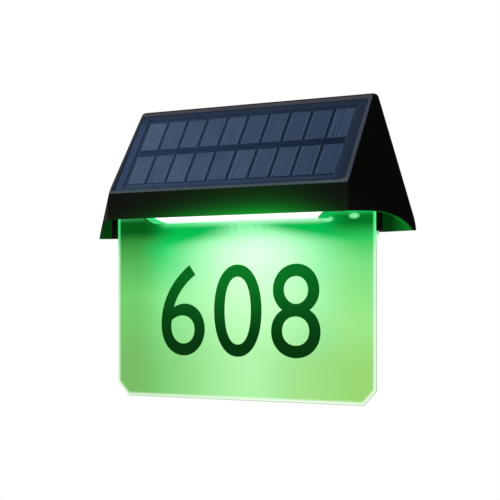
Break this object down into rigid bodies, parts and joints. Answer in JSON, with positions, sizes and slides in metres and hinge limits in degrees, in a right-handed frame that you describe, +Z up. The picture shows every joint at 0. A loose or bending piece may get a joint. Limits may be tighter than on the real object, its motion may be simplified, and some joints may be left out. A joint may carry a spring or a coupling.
{
  "type": "solar illuminated sign",
  "caption": "Wall-hung solar house-number light: a black roof-shaped housing with a sloped solar panel lights a frosted acrylic number plate below it.",
  "frame": {"origin": "on the wall, midway between the round entries of the two keyholes", "axes": "+X along the sign to the viewer's right, +Y into the wall, +Z up"},
  "size_m": [0.2194, 0.035, 0.1682],
  "materials": {
    "black_plastic": "black moulded plastic with a fine satin grain",
    "frosted_acrylic": "frosted clear acrylic with polished edges, lit green",
    "clear_laminate": "clear glossy laminate",
    "silicon_cells": "dark blue silicon with fine silver lines",
    "panel_backing": "navy board",
    "foam_tape": "white foam tape",
    "diffuser": "milky diffuser, lit",
    "led_package": "small white packages with a tinted window",
    "lamp_laminate": "white circuit laminate",
    "board_laminate": "green circuit laminate",
    "chip_plastic": "black moulded parts",
    "switch_plastic": "natural white nylon",
    "holder_plastic": "black plastic",
    "seal_rubber": "black silicone",
    "button_rubber": "dark grey silicone rubber",
    "steel": "zinc plated steel",
    "nickel": "nickel plated strip",
    "battery_sleeve": "blue film sleeve over a metal can",
    "lead_insulation": "red insulation"
  },
  "bodies": {
    "lamp": {"acrylic_panel": "frosted_acrylic", "base_cover": "black_plastic", "base_screws": "steel", "battery": "battery_sleeve", "battery_contacts": "nickel", "battery_holder": "holder_plastic", "battery_leads": "lead_insulation", "board_parts": "chip_plastic", "board_screws": "steel", "button_seal": "seal_rubber", "case_screws": "steel", "clamp_screws": "steel", "control_board": "board_laminate", "housing": "black_plastic", "lamp_leads": "lead_insulation", "led_board": "lamp_laminate", "led_lens": "diffuser", "leds": "led_package", "lens_gasket": "seal_rubber", "panel_adhesive": "foam_tape", "panel_leads": "lead_insulation", "plate_clamp": "holder_plastic", "push_switch": "chip_plastic", "rear_case": "black_plastic", "solar_backing": "panel_backing", "solar_cells": "silicon_cells", "solar_cover": "clear_laminate"},
    "button": {"button_cap": "button_rubber", "switch_plunger": "switch_plastic"}
  },
  "joints": [
    {"name": "button_press", "type": "slide", "parent": "lamp", "child": "button", "axis": [0, 0, 1], "range_m": [0, 0.0012], "stiffness_N_per_m": 900}
  ]
}
